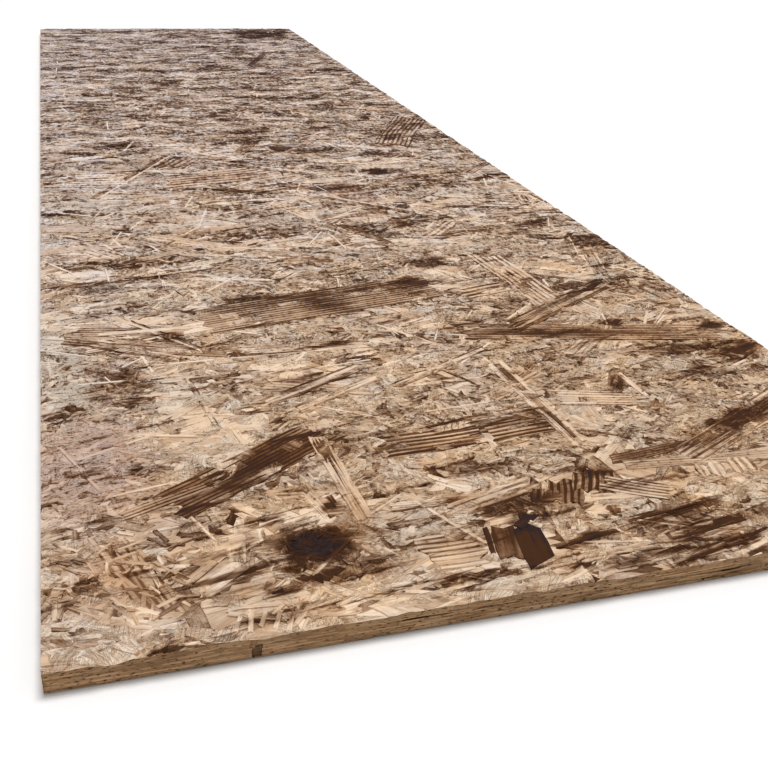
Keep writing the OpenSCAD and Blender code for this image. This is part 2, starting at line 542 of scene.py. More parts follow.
def right_strands(s):
    """Ochre, brown and scorched strands on the right half."""
    s.lay(480, 350, 255, 36, -13, 0.2, 0.35, 0.55, 9, 0.8, wave=1.4, rib=0.2, teeth=6)
    s.lay(460, 505, 140, 36, -84, 0.15, 0.7, 0.1, 6, 0.9, wave=0.8, rib=0.3)
    for offset in (-10, 10):
        s.lay(475, 425 + offset, 165, 7, 34, 0.6, 0.1, 1.2)
    s.lay(475, 425, 165, 14, 34, 0.15, 0.3, 0.4, 3, 1.0, rib=0.3)
    s.lay_each((
        (585, 445, 60, 22, -78, 0.3, 0.3, 0.8),
        (585, 285, 50, 22, 30, 0.3, 0.2, 1.0),
        (565, 540, 100, 14, 75, 0.2, 0.5, 0.4, 2, 0.8),
    ))
    s.lay(490, 150, 120, 26, 28, 0.3, 0.4, 0.3, 5, 0.8, rib=0.3, teeth=6)
    s.lay_each((
        (535, 185, 90, 14, 30, 0.4, 0.3, 0.3, 2, 0.8),
        (445, 250, 45, 12, 60, 0.3, 0.2, 1.1),
        (455, 240, 45, 4, -88, 0.1, 0.8),
    ))


def far_strands(s):
    """Strands that stand out on the middle and far parts."""
    s.lay_each((
        (375, 850, 45, 105, 10, 0.3, 0.3, 0.7, 6, 0.5),
        (115, 980, 235, 12, 63, 0.4, 0.1, 1.2),
        (120, 980, 225, 4, 63, 0.1, 0.7),
        (180, 1040, 60, 45, 60, 0.3, 0.2, 0.7, 5, 0.8),
    ))
    s.lay(225, 955, 150, 65, 14, 0.2, 0.45, 0.3, 6, 1.0, wave=2.5, rib=0.3)
    s.lay_each((
        (70, 970, 60, 80, -3, 0.2, 0.7, 0.2, 7, 0.8),
        (280, 990, 165, 8, -35, 0.4, 0.2, 1.0),
        (285, 1000, 165, 4, -35, 0.1, 0.9),
        (375, 795, 125, 7, -43, 0.4, 0.2, 1.0),
        (380, 800, 120, 4, -43, 0.1, 0.8),
        (285, 1120, 90, 18, 65, 0.3, 0.2, 0.9),
    ))
    s.lay(545, 1200, 200, 55, 65, 0.15, 0.35, 0.5, 8, 0.9, wave=2.0, rib=0.3)
    s.lay_each((
        (240, 615, 100, 16, -20, 0.3, 0.2, 1.0),
        (130, 775, 70, 22, -30, 0.3, 0.2, 0.9),
        (515, 760, 75, 8, -17, 0.4, 0.2, 1.0),
        (520, 765, 70, 4, -17, 0.2, 0.7),
        (85, 2115, 120, 30, -35, 0.2, 0.2, 0.8),
        (445, 1945, 200, 12, 70, 0.2, 0.2, 1.1),
    ))


def raw_strands():
    """The underside: the same mat, unburnt."""
    s = Strands((LEFT, NEAR))
    raw = dict(rib=0.1, foot=False, teeth=1, step=60, char=(0.0, 0.0))
    scatter(s, 1300, WHOLE, (70, 150), (12, 30), (0.5, 0.9), 35, **raw)
    scatter(s, 500, WHOLE, (30, 110), (5, 16), (0.15, 0.5), 40, **raw)
    return s


ENDS_PER_MM = 1.5  # of a sawn side's length
END_CLEAR = 0.4  # the strands' ends keep this far from the side's upper and lower arris


def strand_ends(start, end, lip):
    """A sawn side: cut strands as thin lenses along it. lip: its top line as (s, z) points."""
    s = Strands()
    for _ in range(int((end - start) * ENDS_PER_MM)):
        length = rng.uniform(8, 60) if rng.random() < 0.7 else rng.uniform(50, 110)
        height = rng.uniform(0.5, 1.5)
        x, z = rng.uniform(start, end), rng.uniform(0.9, THICK - 1)
        above = lip[abs(lip[:, 0] - x) < length / 2 + 2, 1]
        room = height * 0.75 + length * 0.02 + END_CLEAR  # it may lean a little
        if not len(above) or z + room > above.min() or z < room:
            continue
        # a few ends are deep voids; their full char paints them dark, as painted shade in the void
        deep = rng.uniform(1.2, 2.4) if rng.random() < 0.03 else rng.uniform(0.05, 0.6)
        s.lay(x, z, length, height, rng.gauss(0, 0.8), deep, tone=rng.random(), rib=0.05,
              char=1.0 if deep > 1 else rng.uniform(0, 0.3), teeth=1, step=25, foot=False,
              tilt=0.0, round_end=0.5)
    return s


# ---------------------------- stains on the charred face

# Scorch marks on the charred face: centre, length and width, angle, strength. The places are in
# from the left edge and from the near end.
SCORCHES = (
    # the black spot by the near edge, with its brown rim
    (155, 80, 52, 44, 0, 2.3), (170, 75, 80, 60, 5, 0.6), (135, 110, 25, 16, 60, 1.2),
    (175, 115, 22, 14, 20, 1.2), (140, 55, 22, 16, 0, 1.2),
    # the rest of the near edge
    (320, 40, 40, 9, 5, 1.0), (370, 45, 50, 9, 5, 0.6), (395, 30, 60, 12, 10, 0.4),
    (445, 40, 60, 10, 10, 0.3), (170, 45, 90, 22, 5, 0.7), (100, 45, 70, 12, 5, 0.8),
    (235, 60, 50, 16, 10, 0.4), (295, 90, 60, 22, 10, 1.0), (235, 20, 130, 9, 3, 0.7),
    (350, 15, 170, 9, 4, 0.7), (410, 55, 40, 14, 15, 0.3), (300, 75, 60, 12, 5, 1.0),
    (350, 120, 60, 12, -10, 0.9), (255, 145, 18, 26, 0, 0.9), (145, 40, 120, 9, 5, 0.8),
    (505, 60, 90, 10, 10, 0.3), (120, 15, 70, 14, 0, 0.7), (90, 95, 110, 120, 0, 0.4),
    (110, 140, 140, 70, 0, 0.4),
    # dark strands and the smears beside them
    (135, 180, 120, 34, 35, 0.7), (350, 205, 20, 45, 0, 0.7), (200, 300, 60, 40, 10, 0.8),
    (175, 140, 60, 30, 0, 0.6), (270, 140, 70, 20, 5, 0.7), (105, 420, 60, 24, -15, 0.7),
    (165, 235, 40, 20, 40, 0.6), (460, 145, 80, 20, 25, 0.4), (505, 165, 80, 30, 28, 1.1),
    (545, 185, 60, 20, 28, 1.1), (360, 200, 40, 30, -60, 0.8), (445, 245, 40, 14, 60, 0.9),
    (245, 375, 26, 22, 0, 1.0),
    (180, 500, 60, 22, 12, 1.0), (255, 470, 40, 55, 12, 0.7), (345, 505, 75, 36, 10, 0.9),
    (255, 495, 230, 28, 12, 0.5), (58, 332, 90, 56, -80, 0.75), (20, 295, 40, 36, 0, 0.7),
    (55, 405, 90, 34, -30, 0.6), (500, 370, 26, 15, 0, 1.4), (425, 362, 30, 14, 0, 1.3),
    (590, 342, 24, 16, 0, 1.5), (455, 352, 170, 20, -14, 0.7), (580, 283, 70, 26, 30, 1.0),
    (530, 300, 140, 22, -5, 0.8), (520, 470, 130, 18, 10, 0.7),
    # the middle
    (385, 565, 50, 34, 0, 1.2), (105, 580, 90, 24, 10, 0.4), (590, 600, 50, 60, 60, 1.0),
    (435, 950, 34, 38, 0, 1.6), (400, 710, 36, 56, 0, 0.9), (110, 1160, 110, 50, 0, 0.7),
    # the far right corner
    (510, 2330, 130, 200, -20, 1.1), (565, 2350, 50, 210, -10, 1.0),
)
# Greyish white places
ASHES = (
    (15, 360, 60, 230, 0, 1.4), (95, 305, 90, 80, 0, 0.9), (215, 80, 62, 62, 0, 0.9),
    (370, 60, 70, 30, 0, 0.9), (285, 370, 40, 26, 0, 0.9), (555, 505, 26, 110, -14, 1.0),
    (20, 210, 60, 120, 0, 0.6), (395, 150, 130, 60, 20, 0.6), (90, 520, 170, 130, 0, 0.6),
    (65, 840, 120, 160, 0, 0.8), (505, 810, 90, 70, 0, 0.7), (275, 12, 90, 24, 0, 0.6),
)
# Rusty brown places, and a pinkish stain
RUSTS = (
    (35, 75, 50, 80, 0, 0.7), (190, 95, 60, 34, 0, 0.4), (480, 350, 240, 36, -13, 0.5),
    (460, 505, 140, 40, -84, 0.4), (225, 955, 150, 70, 14, 0.4), (500, 420, 220, 140, 0, 0.2),
)
PINKS = ((25, 210, 90, 160, 0, 1.2), (80, 145, 90, 60, 0, 0.3), (380, 840, 50, 100, 0, 0.4))

SMALL_SCORCHES = 70  # at random beyond the near part
WANDER = 7  # the edges of the stains wander this far
RIM = 0.675  # a stain ends at this share of its length and width from its centre
FADE = 0.5  # and fades over this share


def all_scorches():
    """The listed scorch marks, and small ones at random beyond the near part."""
    draw = random.Random(5)
    marks = list(SCORCHES)
    for _ in range(SMALL_SCORCHES):
        length = draw.uniform(30, 170)
        marks.append((draw.uniform(0, WIDTH), draw.uniform(620, LENGTH), length,
                      draw.uniform(12, 40), draw.gauss(0, 20), draw.uniform(0.3, 0.8)))
    return marks


def stains(xy):
    """How much each point is scorched, ashen, rusty and pink."""
    drift = [noise.noise_vector((x / 18, y / 18, 0))[:2] for x, y in xy.tolist()]
    xy = xy - (LEFT, NEAR) + WANDER * np.array(drift)
    return np.column_stack([inside(xy, marks) for marks in (all_scorches(), ASHES, RUSTS, PINKS)])


def inside(xy, marks):
    """How far each point is inside any of the marks: in full near its centre, not at its rim."""
    most = np.zeros(len(xy))
    for x, y, length, width, angle, strength in marks:
        turn = math.radians(angle)
        dx, dy = xy[:, 0] - x, xy[:, 1] - y
        out = np.hypot((dx * math.cos(turn) + dy * math.sin(turn)) / length,
                       (dy * math.cos(turn) - dx * math.sin(turn)) / width)
        share = np.clip((RIM - out) / FADE, 0, 1)
        most = np.maximum(most, strength * share * share * (3 - 2 * share))
    return most


def stain_points(box, gap):
    """Points all over the box that carry the stains where a strand is large."""
    x, y = np.meshgrid(np.arange(box[0] + gap, box[2] - gap / 2, gap),
                       np.arange(box[1] + gap, box[3] - gap / 2, gap))
    x[1::2] += gap / 2
    inner = x < box[2] - gap / 4
    return np.column_stack([x[inner], y[inner]])


# ---------------------------- tiles

# The board is shown in square tiles, so that each gets a fine map when it is baked
TILES_X, TILES_Y = 2, 8
CHARRED, RAW, SAWN = range(3)  # material slots
STAIN_GAPS = (5, 6, 9, 9, 14, 14, 14, 14)  # between the points that carry stains, by row of tiles
ARRIS_LINES = (1.2, 4.5)  # lines this far in from the board's edges carry the worn arris
OTHERS_WEAR = 0.5  # how much the other arrises are worn beside the near one
DEEPEST = 4  # nothing on the charred face or the sides is deeper
RAW_DEEPEST = 2  # the same for the underside
SHARP_ANGLE = 16  # degrees
MAP_MARGIN = 0.002
# Where each part of a tile lies in its map: lowest and highest v
TOP_BAND = (0.35, 0.999)
UNDER_BAND = (0.12, 0.34)
OUTER_BANDS = ((0.001, 0.05), (0.052, 0.1))  # the sides that run along X, and along Y
CUT_BANDS = [(0.102 + 0.0045 * k, 0.1055 + 0.0045 * k) for k in range(4)]


def tile_boxes():
    for row in range(TILES_Y):
        for column in range(TILES_X):
            x, y = LEFT + column * WIDTH / TILES_X, NEAR + row * LENGTH / TILES_Y
            yield column, row, (x, y, x + WIDTH / TILES_X, y + LENGTH / TILES_Y)


def rectangle(x0, y0, x1, y1):
    return np.array([(x0, y0), (x1, y0), (x1, y1), (x0, y1)], float)


def arris_lines():
    """Lines parallel to the board's edges where the worn arris begins and deepens."""
    lines = []
    for d in ARRIS_LINES:
        corners = rectangle(LEFT + d, NEAR + d, RIGHT - d, FAR - d)
        lines += [np.array([p, q]) for p, q in zip(corners, np.roll(corners, -1, 0))]
    return lines


def arris_wear(xy):
    """How far the arris is worn or chipped below the face at the points."""
    drop = np.zeros(len(xy))
    sides = ((xy[:, 1] - NEAR, xy[:, 0]), (FAR - xy[:, 1], xy[:, 0]),
             (xy[:, 0] - LEFT, xy[:, 1]), (RIGHT - xy[:, 0], xy[:, 1]))
    for key, (gap, along) in enumerate(sides):
        # large chips here and there, small ones between them, and a slow change in depth
        chip = noise_1d(along, 23, key) * noise_1d(along, 8, key + 7)
        chip = np.maximum(chip - 0.2, 0) / 0.8 + 0.3 * noise_1d(along, 3.5, key + 5) ** 2
        deep = 0.3 + 2.6 * chip + 0.4 * noise_1d(along, 60, key + 9)
        deep *= 1.0 if key == 0 else OTHERS_WEAR
        reach = 1.2 + 5.0 * noise_1d(along, 17, key + 3)
        drop = np.maximum(drop, deep * np.clip(1 - gap / reach, 0, 1))
    return drop


class Tile:
    """The parts of one tile, gathered until they are written as a mesh."""

    def __init__(self):
        self.points, self.tris, self.uvs, self.slots, self.corners = [], [], [], [], []
        self.count = 0

    def add(self, face, points, slot, u, v, flip=False):
        """Adds a face whose points are now in space; u and v run over its map, from 0 to 1."""
        tris = face.tris[:, ::-1] if flip else face.tris
        self.points.append(points)
        self.tris.append(tris + self.count)
        across = MAP_MARGIN + (1 - 2 * MAP_MARGIN) * u
        self.uvs.append(np.column_stack([across, v])[tris.ravel()])
        self.slots.append(np.full(len(tris), slot))
        self.corners.append(corner_values(face, tris))
        self.count += len(points)

    def write(self, name, materials):
        """Makes the mesh object, in metres, with its map and its corners' values."""
        points, tris = np.vstack(self.points) * MM, np.vstack(self.tris)
        points, renamed = np.unique(np.round(points, 8), axis=0, return_inverse=True)
        tris = renamed.ravel()[tris]
        mesh = bpy.data.meshes.new(name)
        mesh.vertices.add(len(points))
        mesh.vertices.foreach_set("co", points.ravel())
        mesh.loops.add(tris.size)
        mesh.loops.foreach_set("vertex_index", tris.ravel())
        mesh.polygons.add(len(tris))
        mesh.polygons.foreach_set("loop_start", np.arange(0, tris.size, 3))
        mesh.update(calc_edges=True)
        mesh.shade_smooth()
        mesh.set_sharp_from_angle(angle=math.radians(SHARP_ANGLE))
        for material in materials:
            mesh.materials.append(material)
        mesh.polygons.foreach_set("material_index", np.concatenate(self.slots).astype(np.int32))
        layer = mesh.uv_layers.new(name="OFBake")
        layer.data.foreach_set("uv", np.vstack(self.uvs).astype(np.float32).ravel())
        for name in ("grain", "form", "look", "more", "stain"):
            values = np.vstack([part[name] for part in self.corners]).astype(np.float32)
            layer = mesh.attributes.new(name, "FLOAT_VECTOR", "CORNER")
            layer.data.foreach_set("vector", values.ravel())
        piece = add_to_scene(mesh.name, mesh)
        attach(piece, "root")
        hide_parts("panel")


def corner_values(face, tris):
    """Each corner's place along and across its strand, and the strand's form and looks.

    grain: along, across, seed. form: half width, 1 on a strand's steep side, how much is mat.
    look: tone, char, stripe. more: rib phase, 1 where no strand lies, pink. stain: scorch, ash,
    rust.
    """
    corner = tris.ravel()
    highest = face.over[tris].max(1)
    top = face.top
    wall = np.repeat(highest > top, 3)
    owner = np.repeat(np.maximum(highest, top), 3)
    bare = owner < 0
    if len(face.pile.lines):
        rows = {name: face.pile.table[name][owner] for name in FIELDS}
        a, c = local(rows, face.xy[corner])
        phase = rib_phase(rows, a, c)
    else:
        rows = {name: np.zeros(len(owner)) for name in FIELDS}
        a = c = phase = rows["seed"]
    grain = np.column_stack([a, c, rows["seed"]])
    grain[bare] = np.column_stack([face.xy[corner], np.zeros(len(corner))])[bare]
    stain = face.stain[corner]
    return {"grain": grain,
            "form": np.column_stack([rows["hw"], wall, np.where(bare, 1, rows["mat"])]),
            "look": np.column_stack([rows["tone"], rows["char"], rows["stripe"]]),
            "more": np.column_stack([phase, bare, stain[:, 3]]),
            "stain": stain[:, :3]}


def between(values, low, high, band=(0, 1)):
    """The values' place from low to high, as a place in the band."""
    return band[0] + (band[1] - band[0]) * np.clip((values - low) / (high - low), 0, 1)


def make_tile(name, box, gap, piles, ends, materials):
    """One closed tile: charred top, raw underside, and four sides, sawn ones or plain cuts."""
    tile = Tile()
    top = Face(rectangle(*box), piles["charred"], BASE_DEPTH, arris_lines(), stain_points(box, gap))
    top.stain = stains(top.xy)
    under = Face(rectangle(*box), piles["raw"], RAW_DEPTH)
    sides = sorted((value not in (LOW[axis], HIGH[axis]), axis, value)
                   for axis, value in ((1, box[1]), (1, box[3]), (0, box[0]), (0, box[2])))
    rims = [(top.chain(axis, value), under.chain(axis, value)) for _, axis, value in sides]
    top_z = THICK - np.clip(top.depth + arris_wear(top.xy), 0, DEEPEST)
    under_z = np.clip(under.depth, 0, RAW_DEEPEST)
    tile.add(top, np.column_stack([top.xy, top_z]), CHARRED,
             between(top.xy[:, 0], box[0], box[2]), between(top.xy[:, 1], box[1], box[3], TOP_BAND))
    tile.add(under, np.column_stack([under.xy, under_z]), RAW,
             between(under.xy[:, 0], box[0], box[2]),
             between(under.xy[:, 1], box[3], box[1], UNDER_BAND), flip=True)
    side_ends = {}  # what the cuts meet where a sawn side's strands cross them
    for (cut, axis, value), (lip, sill) in zip(sides, rims):
        run, low = 1 - axis, value == box[axis]
        start, end = box[run], box[run + 2]
        lip = np.column_stack([top.xy[lip, run], top_z[lip]])[::-1]
        sill = np.column_stack([under.xy[sill, run], under_z[sill]])
        if cut:
            up = side_ends.get((axis, value, end), lip[:0])
            down = side_ends.get((axis, value, start), lip[:0])[::-1]
            side = Face(np.vstack([sill, up, lip, down]), piles["bare"], 0.0)
            plane = np.full(len(side.xy), value)
        else:
            side = Face(np.vstack([sill, lip]), ends[axis, value], 0.0)
            plane = value + (1 if low else -1) * np.clip(side.depth, 0, DEEPEST)
            for at in (start, end):
                found = side.chain(0, at)[1:-1]
                side_ends[run, at, value] = np.column_stack([plane[found], side.xy[found, 1]])
        band = CUT_BANDS[2 * axis + low] if cut else OUTER_BANDS[run]
        tile.add(side, np.insert(side.xy, axis, plane, axis=1), SAWN,
                 between(side.xy[:, 0], start, end), between(side.xy[:, 1], 0, THICK, band),
                 flip=low == (axis == 0))
    tile.write(name, materials)


# ---------------------------- materials

PALE = (0.92, 0.74, 0.555)
CREAM = (0.74, 0.545, 0.375)
TAN = (0.57, 0.385, 0.24)
MID = (0.40, 0.245, 0.14)
TOAST = (0.31, 0.165, 0.08)
BROWN = (0.152, 0.068, 0.030)
CHAR = (0.064, 0.026, 0.011)
BLACK = (0.032, 0.019, 0.018)
ASH = (0.70, 0.62, 0.53)
RUST = (0.42, 0.18, 0.06)
PINK = (0.60, 0.40, 0.31)
WOOD_SPECULAR = 0.03


class Wire:
    """A node's output, which can be added, multiplied and so on by making math nodes."""

    def __init__(self, graph, socket):
        self.graph, self.socket = graph, socket

    def __add__(self, other):
        return self.graph.math("ADD", self, other)

    def __sub__(self, other):
        return self.graph.math("SUBTRACT", self, other)

    def __mul__(self, other):
        return self.graph.math("MULTIPLY", self, other)

    __radd__, __rmul__ = __add__, __mul__

    def most(self, other):
        return self.graph.math("MAXIMUM", self, other)

    def size(self):
        return self.graph.math("ABSOLUTE", self, 0.0)

    def fold(self):
        """0 at whole numbers and 1 halfway between them."""
        return self.graph.math("PINGPONG", self, 0.5) * 2.0

    def ease(self, low, high, to_low=0.0, to_high=1.0):
        """Goes smoothly from to_low to to_high as this goes from low to high."""
        inputs = {0: self, 1: low, 2: high, 3: to_low, 4: to_high}
        return self.graph.node("ShaderNodeMapRange", inputs, interpolation_type="SMOOTHSTEP")


class Graph:
    """The nodes of a new material or world, and short names for making them."""

    def __init__(self, owner, shader="Principled BSDF"):
        owner.use_nodes = True
        self.owner, self.tree = owner, owner.node_tree
        self.shader = self.tree.nodes[shader]

    def link(self, value, socket):
        if isinstance(value, Wire):
            self.tree.links.new(value.socket, socket)
        elif isinstance(value, tuple) and len(value) == 3 and len(socket.default_value) == 4:
            socket.default_value = (*value, 1)
        else:
            socket.default_value = value

    def node(self, kind, inputs, output=0, **settings):
        node = self.tree.nodes.new(kind)
        for key, value in settings.items():
            setattr(node, key, value)
        for key, value in inputs.items():
            self.link(value, node.inputs[key])
        return Wire(self, node.outputs[output])

    def math(self, operation, a, b):
        return self.node("ShaderNodeMath", {0: a, 1: b}, operation=operation)

    def mix(self, share, a, b, blend="MIX"):
        return self.node("ShaderNodeMix", {0: share, 6: a, 7: b}, 2, data_type="RGBA",
                         blend_type=blend)

    def attribute(self, name):
        """The three numbers of an attribute."""
        vector = self.node("ShaderNodeAttribute", {}, 1, attribute_name=name)
        return self.split(vector)

    def split(self, vector):
        node = self.tree.nodes.new("ShaderNodeSeparateXYZ")
        self.link(vector, node.inputs[0])
        return [Wire(self, output) for output in node.outputs]

    def join(self, x, y, z=0.0):
        return self.node("ShaderNodeCombineXYZ", {0: x, 1: y, 2: z})

    def noise(self, vector, scale=1.0, detail=2.0, rough=0.5):
        return self.node("ShaderNodeTexNoise", {"Vector": vector, "Scale": scale, "Detail": detail,
                                                "Roughness": rough})

    def ramp(self, share, *colors):
        """Colours spaced evenly from 0 to 1."""
        node = self.tree.nodes.new("ShaderNodeValToRGB")
        self.link(share, node.inputs[0])
        stops = node.color_ramp.elements
        while len(stops) < len(colors):
            stops.new(0.5)
        for i, color in enumerate(colors):
            stops[i].position = i / (len(colors) - 1)
            stops[i].color = (*color, 1)
        return Wire(self, node.outputs[0])

    def place(self, upward=0.0):
        """The place on the board in millimetres, without its height unless upward is 1."""
        point = self.node("ShaderNodeTexCoord", {}, 3)
        return self.node("ShaderNodeVectorMath", {0: point, 1: (1 / MM, 1 / MM, upward / MM)},
                         operation="MULTIPLY")

    def in_view(self):
        """1 where the camera looks, straight or in a reflection, and 0 for the light on things."""
        path = self.tree.nodes.new("ShaderNodeLightPath").outputs
        straight, glossy, through = (Wire(self, path[f"Is {kind} Ray"])
                                     for kind in ("Camera", "Glossy", "Transmission"))
        return straight.most(glossy).most(through)

    def finish(self, color, rough, height, relief):
        """Joins the colour, roughness and a bump map, whose relief is in millimetres."""
        self.link(color, self.shader.inputs["Base Color"])
        self.link(rough, self.shader.inputs["Roughness"])
        bump = self.node("ShaderNodeBump", {"Height": height, "Distance": relief * MM})
        self.link(bump, self.shader.inputs["Normal"])
        self.shader.inputs["Specular IOR Level"].default_value = WOOD_SPECULAR
        return self.owner


def slivers(g, place, patch, length, width, turn):
    """Fine chips: patches of parallel slivers. Returns a value for each sliver, and its gap."""
    cell = g.node("ShaderNodeTexVoronoi", {"Vector": place, "Scale": 1 / patch}, 1,
                  voronoi_dimensions="2D")
    way = g.split(cell)[0]
    turned = g.node("ShaderNodeVectorRotate", {"Vector": place, "Angle": way * math.pi + turn},
                    rotation_type="Z_AXIS")
    long_x, long_y, _ = g.split(turned)
    fine = g.join(long_x * (1 / length) + way * 90, long_y * (1 / width))
    value = g.split(g.node("ShaderNodeTexVoronoi", {"Vector": fine, "Scale": 1.0}, 1,
                           voronoi_dimensions="2D"))[0]
    gap = g.node("ShaderNodeTexVoronoi", {"Vector": fine, "Scale": 1.0}, 0,
                 voronoi_dimensions="2D", feature="DISTANCE_TO_EDGE")
    return value, gap


def wood_tone(g, grain, tone, spread, colors):
    """A strand's colour: its own tone, varied by fibres along the grain. Also the fibres."""
    a, c, seed = grain
    fibres = g.noise(g.join(a * 0.05, c * 1.3, seed), detail=2.0, rough=0.6)
    streaks = g.noise(g.join(a * 0.013, c * 0.32, seed + 5.0), detail=2.0)
    share = tone + (fibres - 0.5) * spread + (streaks - 0.5) * spread
    return g.ramp(share, *colors), fibres, streaks


def burn_of_place(g, x, y):
    """How burnt each place is, whatever lies there: clouds, sweeps, blotches and flecks."""
    cloud = g.noise(g.join(x * 0.007, y * 0.016), detail=3.0, rough=0.6) - 0.5
    sweep = g.noise(g.join(x * 0.011 + y * 0.003, y * 0.085 - x * 0.02), detail=4.0, rough=0.65)
    swept = y.ease(-900, 100, 0.9, 1.3) + y.ease(-1130, -1200, 0.0, 0.5)
    blotch = g.noise(g.join(x * 0.045, y * 0.038, 7.0), detail=3.0, rough=0.6) - 0.5
    patch = g.noise(g.join(x * 0.02, y * 0.02, 11.0), detail=2.0) - 0.5
    fleck = g.noise(g.join(x * 0.2, y * 0.09, 2.0), detail=1.0) - 0.5
    darkening = cloud * 1.9 + sweep.ease(0.52, 0.70) * swept + blotch * y.ease(-900, 500, 0.9, 2.7)
    darkening = darkening + patch * y.ease(-700, 500, 0.0, 2.8) + fleck * y.ease(-950, -350, 0.0, 2.4)
    return darkening + y.ease(-400, 200, 0.0, 0.27) + (x - y.size() * 0.1).ease(-300, 0, 0.0, 0.16)


def burn_of_strand(g, grain, phase, stripe):
    """How burnt a strand is along its smears, and in the grooves between its ribs."""
    a, c, seed = grain
    smear = g.noise(g.join(a * 0.022, c * 0.2, seed + 9.0), detail=2.0, rough=0.55) - 0.5
    broken = g.noise(g.join(a * 0.02, phase * 0.9, seed), detail=1.0) - 0.5
    ribs = (phase.fold() + stripe.most(1.0) - 1.0 + broken * 0.7).ease(0.35, 0.8) * stripe
    return smear * 1.6 + ribs * 0.9


def fine_burn_and_shade(g, grain, place, half_width, mat, fibres):
    """The dark fibres, lines and specks that make strands crisp; the dark edges are part char, part
    painted shade.
    """
    a, c, seed = grain
    # darker along a strand's edges: partly char, partly painted shade where it meets the strand
    # below
    edge = (half_width - c.size()).ease(2.0, 0.1) * g.noise(
        g.join(a * 0.05, seed), detail=1.0).ease(0.45, 0.62)
    lines = g.noise(g.join(a * 0.04, c * 1.0, seed + 3.0), detail=1.0).ease(0.58, 0.70)
    speck = g.noise(place, 1 / 3.5, 3.0, 0.6)
    specks = (speck - 0.5) * 0.7 + speck.ease(0.57, 0.65) * (0.4 + mat * 0.3)
    return edge * 0.4 + (fibres - 0.5) * 0.8 + lines * 0.45 + specks


def tinted(g, color, x, y, place, seed):
    """The colour, cooler to the left and far, partly painted sheen far off, and changed a little at
    random.
    """
    # towards the far end the cooler tint is partly the wood's greyer colour and partly painted
    # sheen, the sky's reflection at the low angle
    cool = y.ease(-1200, 0, 0.0, 0.64) + y.ease(200, 1000, 0.0, 0.36)
    cool = cool + x.ease(-150, -300, 0.0, 0.15) - x.ease(0, 250, 0.0, 0.12)
    color = g.mix(cool, color, g.mix(1.0, color, (0.87, 0.99, 1.30), "MULTIPLY"))
    of_strand = g.noise(g.join(seed * 3.1, seed), detail=0.0) - 0.5
    hue = g.noise(place, 1 / 45, 3.0, 0.7) + of_strand * 0.3
    hues = g.ramp(hue.ease(0.3, 0.7), (1.06, 0.98, 0.88), (0.97, 1.0, 1.08))
    return g.mix(1.0, color, hues, "MULTIPLY")


def charred_material():
    """The torched face: cream to brown strands, scorched along ribs, edges and in clouds."""
    g = Graph(bpy.data.materials.new("charred_face"))
    place = g.place()
    x, y, _ = g.split(place)
    grain = g.attribute("grain")
    half_width, wall, mat = g.attribute("form")
    tone, char, stripe = g.attribute("look")
    phase, bare, pink = g.attribute("more")
    scorch, ash, rust = g.attribute("stain")

    coarse, coarse_gap = slivers(g, place, patch=17, length=15, width=2.6, turn=0.3)
    fine, fine_gap = slivers(g, place, patch=8, length=7, width=1.1, turn=1.4)
    chips = g.math("GREATER_THAN", mat, g.noise(place, 0.05, 1.0).ease(0.35, 0.65))
    # the gaps between chips sink in the bump and are darkened below as painted shade
    gaps = coarse_gap.ease(0.07, 0.01).most(fine_gap.ease(0.09, 0.02) * 0.6) * chips
    light = g.noise(g.join(x * 0.06, y * 0.045, 3.0), detail=3.0, rough=0.65) - 0.5
    light = light * y.ease(-1000, 200, 0.8, 2.6) + y.ease(-1100, -700, 0.0, 0.07)
    light = light + chips * (coarse * 0.6 + fine * 0.4 - 0.5) * 0.7
    color, fibres, streaks = wood_tone(
        g, grain, tone * 0.55 + 0.38 + light, 0.85, (MID, TAN, CREAM, PALE))
    color = g.mix(rust * fibres.ease(0.35, 0.6), color, RUST)
    color = g.mix(pink * 0.7, color, PINK)

    # darkening, mostly burn and partly painted shade: 0 is raw wood, 1 is char. The near end is
    # rubbed smooth, and so is less crisp.
    crisp = (y + x * 0.15).ease(-1250, -1000, 0.35, 1.0) + y.ease(-1000, -700, 0.0, 0.45)
    crisp_burn_and_shade = fine_burn_and_shade(g, grain, place, half_width, mat, fibres) + gaps * 0.35 - 0.16
    # strands' steep sides (wall) and the hollows where no strand lies (bare) are darkened: partly
    # char, partly painted shade
    darkening = char + scorch * streaks.ease(0.25, 0.6, 0.7, 1.2) + wall * 0.2 + bare * 0.3 - 0.32
    darkening = darkening + burn_of_place(g, x, y) + burn_of_strand(g, grain, phase, stripe)
    darkening = darkening + crisp * crisp_burn_and_shade
    color = g.mix(darkening.ease(-0.05, 0.5) * 0.55, color, TOAST)
    color = g.mix(darkening.ease(0.3, 1.0) * 0.9, color, BROWN)
    color = g.mix(darkening.ease(0.85, 1.55), color, CHAR)
    color = g.mix(darkening.ease(1.8, 2.5), color, BLACK)
    color = tinted(g, color, x, y, place, grain[2])

    # a thin whitish film of ash in places, and fine dark grit
    ash = ash.most(g.noise(place, 1 / 70, 2.0).ease(0.45, 0.75, 0.0, 0.4))
    ash = (ash + g.noise(place, 1 / 5, 3.0) - 0.6).most(0.0) * fibres.ease(0.2, 0.6, 0.5, 1.0)
    color = g.mix(ash * darkening.ease(0.1, 0.8, 0.55, 0.0), color, ASH)
    grit = g.ramp(g.noise(place, 0.9, 1.0), (0.80, 0.78, 0.76), (1.0, 1.0, 1.0), (1.0, 1.0, 1.0))
    color = g.mix(crisp, color, g.mix(1.0, color, grit, "MULTIPLY"))

    rough = darkening.ease(0.0, 1.2, 0.75, 0.9)
    height = fibres * 0.6 + coarse * chips * 0.4 + fine * chips * 0.2 - gaps
    return g.finish(color, rough, height, 0.45)


